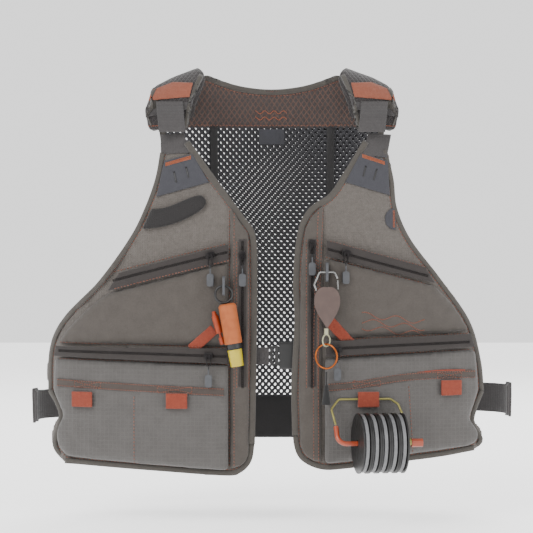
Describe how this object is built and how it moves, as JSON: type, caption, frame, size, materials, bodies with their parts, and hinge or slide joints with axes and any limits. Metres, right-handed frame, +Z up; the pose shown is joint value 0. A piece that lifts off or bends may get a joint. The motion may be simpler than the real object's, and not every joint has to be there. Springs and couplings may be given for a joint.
{
  "type": "fishing vest",
  "caption": "Fishing vest with zipped front pockets, mesh back, padded shoulders, buckle, retractor, tippet spools and a bottle holder.",
  "frame": {"origin": "middle of the hang loop's gap at the back of the neck, from which the vest hangs", "axes": "+Z up, -Y out of the fronts, +X to the right seen from the front"},
  "size_m": [0.625, 0.3169, 0.5211],
  "materials": {
    "mesh_cloth": "punched mesh, two layers",
    "padded_cloth": "quilted padded knit",
    "elastic_band": "orange elastic",
    "webbing": "ribbed polyester webbing",
    "label": "woven label",
    "foam": "closed-cell foam",
    "black_plastic": "moulded",
    "case_plastic": "moulded, satin",
    "bright_steel": "satin",
    "copper_ring": "anodised orange",
    "black_cord": "braided",
    "sleeve_rubber": "soft, scaled on one half",
    "yellow_plastic": "moulded",
    "tool_metal": "anodised",
    "olive_metal": "anodised wire",
    "orange_rod": "moulded",
    "shell_cloth": "stiff brushed shell",
    "ripstop": "ripstop weave",
    "zip_tape": "woven tape and coil",
    "orange_webbing": "ribbed webbing",
    "pull_rubber": "moulded",
    "dark_metal": "plated"
  },
  "bodies": {
    "back": {"back_mesh": "mesh_cloth", "lower_back_panel": "mesh_cloth", "yoke": "padded_cloth", "shoulder_pads": "padded_cloth", "shoulder_bands": "elastic_band", "hang_loop": "webbing", "neck_label": "label", "side_adjusters": "webbing"},
    "left_front": {"left_front_panel": "shell_cloth", "left_chest_pocket": "shell_cloth", "left_lower_pocket": "ripstop", "left_placket": "shell_cloth", "left_zip_tapes": "zip_tape", "left_shoulder_strap": "webbing", "left_webbing": "orange_webbing", "left_dock_tab": "pull_rubber", "left_closure_strap": "webbing", "foam_fly_patch": "foam"},
    "right_front": {"right_front_panel": "shell_cloth", "right_chest_pocket": "shell_cloth", "right_lower_pocket": "ripstop", "right_placket": "shell_cloth", "right_zip_tapes": "zip_tape", "right_shoulder_strap": "webbing", "right_webbing": "orange_webbing", "right_dock_tab": "pull_rubber", "right_closure_strap": "webbing", "buckle_female": "black_plastic"},
    "left_chest_slider": {"left_chest_slider": "dark_metal"},
    "left_chest_pull": {"left_chest_pull": "pull_rubber"},
    "left_placket_slider": {"left_placket_slider": "dark_metal"},
    "left_placket_pull": {"left_placket_pull": "pull_rubber"},
    "left_lower_slider": {"left_lower_slider": "dark_metal"},
    "left_lower_pull": {"left_lower_pull": "pull_rubber"},
    "right_chest_slider": {"right_chest_slider": "dark_metal"},
    "right_chest_pull": {"right_chest_pull": "pull_rubber"},
    "right_placket_slider": {"right_placket_slider": "dark_metal"},
    "right_placket_pull": {"right_placket_pull": "pull_rubber"},
    "right_lower_slider": {"right_lower_slider": "dark_metal"},
    "right_lower_pull": {"right_lower_pull": "pull_rubber"},
    "retractor": {"retractor_case": "case_plastic", "retractor_carabiner": "bright_steel"},
    "retractor_gate": {"retractor_gate": "bright_steel"},
    "cord_end": {"retractor_crimp": "bright_steel"},
    "key_ring": {"key_ring": "copper_ring", "tassel": "black_cord"},
    "bottle_holder": {"bottle_ring": "black_plastic", "bottle_sleeve": "sleeve_rubber"},
    "bottle": {"bottle": "black_plastic"},
    "bottle_cap": {"bottle_cap": "yellow_plastic"},
    "knot_tool": {"knot_tool": "tool_metal"},
    "tippet_bail": {"tippet_bail": "olive_metal"},
    "tippet_axle": {"tippet_axle": "orange_rod"},
    "tippet_knob": {"tippet_knob": "orange_rod"},
    "buckle_male": {"buckle_male": "black_plastic"},
    "tippet_spool_1": {"tippet_spool_1": "black_plastic"},
    "tippet_spool_2": {"tippet_spool_2": "black_plastic"},
    "tippet_spool_3": {"tippet_spool_3": "black_plastic"},
    "tippet_spool_4": {"tippet_spool_4": "black_plastic"},
    "tippet_spool_5": {"tippet_spool_5": "black_plastic"}
  },
  "joints": [
    {"name": "left_front_swing", "type": "hinge", "parent": "back", "child": "left_front", "pos_m": [-0.3, -0.099, -0.396], "axis": [-0.4373, 0.1314, -0.8897], "range_deg": [0, 40]},
    {"name": "right_front_swing", "type": "hinge", "parent": "back", "child": "right_front", "pos_m": [0.283, -0.114, -0.388], "axis": [-0.4022, -0.0979, 0.9103], "range_deg": [0, 40]},
    {"name": "left_chest_zip", "type": "hinge", "parent": "left_front", "child": "left_chest_slider", "pos_m": [-0.0354, 0.32062, -0.191], "axis": [0.2557, 0, -0.9668], "range_deg": [0, 13.6]},
    {"name": "left_chest_pull_swing", "type": "hinge", "parent": "left_chest_slider", "child": "left_chest_pull", "pos_m": [-0.077, -0.20616, -0.2015], "axis": [-0.9928, 0.1201, 0], "range_deg": [0, 75]},
    {"name": "left_placket_zip", "type": "slide", "parent": "left_front", "child": "left_placket_slider", "axis": [0, -0.0234, -0.9997], "range_m": [0, 0.15]},
    {"name": "left_placket_pull_swing", "type": "hinge", "parent": "left_placket_slider", "child": "left_placket_pull", "pos_m": [-0.037, -0.20913, -0.2015], "axis": [-0.9984, 0.0562, 0], "range_deg": [0, 75]},
    {"name": "left_lower_zip", "type": "hinge", "parent": "left_front", "child": "left_lower_slider", "pos_m": [-0.04253, 0.23814, -0.3276], "axis": [-0.0164, 0, -0.9999], "range_deg": [0, 24]},
    {"name": "left_lower_pull_swing", "type": "hinge", "parent": "left_lower_slider", "child": "left_lower_pull", "pos_m": [-0.079, -0.21712, -0.3265], "axis": [-0.9942, 0.1072, 0], "range_deg": [0, 75]},
    {"name": "right_chest_zip", "type": "hinge", "parent": "right_front", "child": "right_chest_slider", "pos_m": [0.03376, 0.33442, -0.18373], "axis": [0.2536, 0, 0.9673], "range_deg": [0, 11.2]},
    {"name": "right_chest_pull_swing", "type": "hinge", "parent": "right_chest_slider", "child": "right_chest_pull", "pos_m": [0.092, -0.20382, -0.1985], "axis": [-0.9892, -0.1465, 0], "range_deg": [0, 75]},
    {"name": "right_placket_zip", "type": "slide", "parent": "right_front", "child": "right_placket_slider", "axis": [0, -0.0297, -0.9996], "range_m": [0, 0.15]},
    {"name": "right_placket_pull_swing", "type": "hinge", "parent": "right_placket_slider", "child": "right_placket_pull", "pos_m": [0.05, -0.20697, -0.1875], "axis": [-0.9969, -0.0781, 0], "range_deg": [0, 75]},
    {"name": "right_lower_zip", "type": "hinge", "parent": "right_front", "child": "right_lower_slider", "pos_m": [0.03751, 0.25869, -0.32112], "axis": [-0.0487, 0, 0.9988], "range_deg": [0, 20.4]},
    {"name": "right_lower_pull_swing", "type": "hinge", "parent": "right_lower_slider", "child": "right_lower_pull", "pos_m": [0.081, -0.21705, -0.3185], "axis": [-0.9939, -0.1104, 0], "range_deg": [0, 40]},
    {"name": "retractor_swing", "type": "hinge", "parent": "right_front", "child": "retractor", "pos_m": [0.068, -0.221, -0.223], "axis": [-1, 0, 0], "range_deg": [0, 60]},
    {"name": "retractor_gate_hinge", "type": "hinge", "parent": "retractor", "child": "retractor_gate", "pos_m": [0.0815, -0.221, -0.2445], "axis": [0, -1, 0], "range_deg": [0, 18], "stiffness_Nm_per_rad": 0.01},
    {"name": "retractor_cord_pull", "type": "slide", "parent": "retractor", "child": "cord_end", "axis": [0, -0.5, -0.866], "range_m": [0, 0.25], "stiffness_N_per_m": 3, "springref_m": -0.15},
    {"name": "key_ring_swing", "type": "hinge", "parent": "cord_end", "child": "key_ring", "pos_m": [0.067, -0.221, -0.3148], "axis": [-0.6428, -0.766, 0], "range_deg": [0, 35]},
    {"name": "bottle_holder_swing", "type": "hinge", "parent": "left_front", "child": "bottle_holder", "pos_m": [-0.06, -0.223, -0.24], "axis": [-1, 0, 0], "range_deg": [0, 60]},
    {"name": "bottle_pull_out", "type": "slide", "parent": "bottle_holder", "child": "bottle", "axis": [0.165, 0, -0.9863], "range_m": [0, 0.045]},
    {"name": "bottle_cap_turn", "type": "hinge", "parent": "bottle", "child": "bottle_cap", "pos_m": [-0.0461, -0.223, -0.32118], "axis": [0.165, 0, -0.9863], "continuous": true},
    {"name": "knot_tool_swing", "type": "hinge", "parent": "left_front", "child": "knot_tool", "pos_m": [-0.073, -0.214, -0.271], "axis": [0, 1, 0], "range_deg": [0, 40]},
    {"name": "tippet_bail_swing", "type": "hinge", "parent": "right_front", "child": "tippet_bail", "pos_m": [0.12, -0.2059, -0.381], "axis": [-0.9848, -0.1736, 0], "range_deg": [0, 50]},
    {"name": "tippet_axle_open", "type": "hinge", "parent": "tippet_bail", "child": "tippet_axle", "pos_m": [0.07834, -0.23454, -0.41209], "axis": [-0.144, 0.8164, -0.5592], "range_deg": [0, 45]},
    {"name": "tippet_spool_1_spin", "type": "hinge", "parent": "tippet_axle", "child": "tippet_spool_1", "pos_m": [0.10997, -0.24344, -0.43323], "axis": [0.9848, 0.1736, 0], "continuous": true},
    {"name": "tippet_spool_2_spin", "type": "hinge", "parent": "tippet_axle", "child": "tippet_spool_2", "pos_m": [0.12129, -0.24144, -0.43323], "axis": [0.9848, 0.1736, 0], "continuous": true},
    {"name": "tippet_spool_3_spin", "type": "hinge", "parent": "tippet_axle", "child": "tippet_spool_3", "pos_m": [0.13262, -0.23945, -0.43323], "axis": [0.9848, 0.1736, 0], "continuous": true},
    {"name": "tippet_spool_4_spin", "type": "hinge", "parent": "tippet_axle", "child": "tippet_spool_4", "pos_m": [0.14394, -0.23745, -0.43323], "axis": [0.9848, 0.1736, 0], "continuous": true},
    {"name": "tippet_spool_5_spin", "type": "hinge", "parent": "tippet_axle", "child": "tippet_spool_5", "pos_m": [0.15527, -0.23545, -0.43323], "axis": [0.9848, 0.1736, 0], "continuous": true},
    {"name": "tippet_knob_turn", "type": "hinge", "parent": "tippet_axle", "child": "tippet_knob", "pos_m": [0.17536, -0.23191, -0.43323], "axis": [0.9848, 0.1736, 0], "continuous": true},
    {"name": "buckle_release", "type": "slide", "parent": "right_front", "child": "buckle_male", "axis": [-1, 0, 0], "range_m": [0, 0.03]}
  ]
}
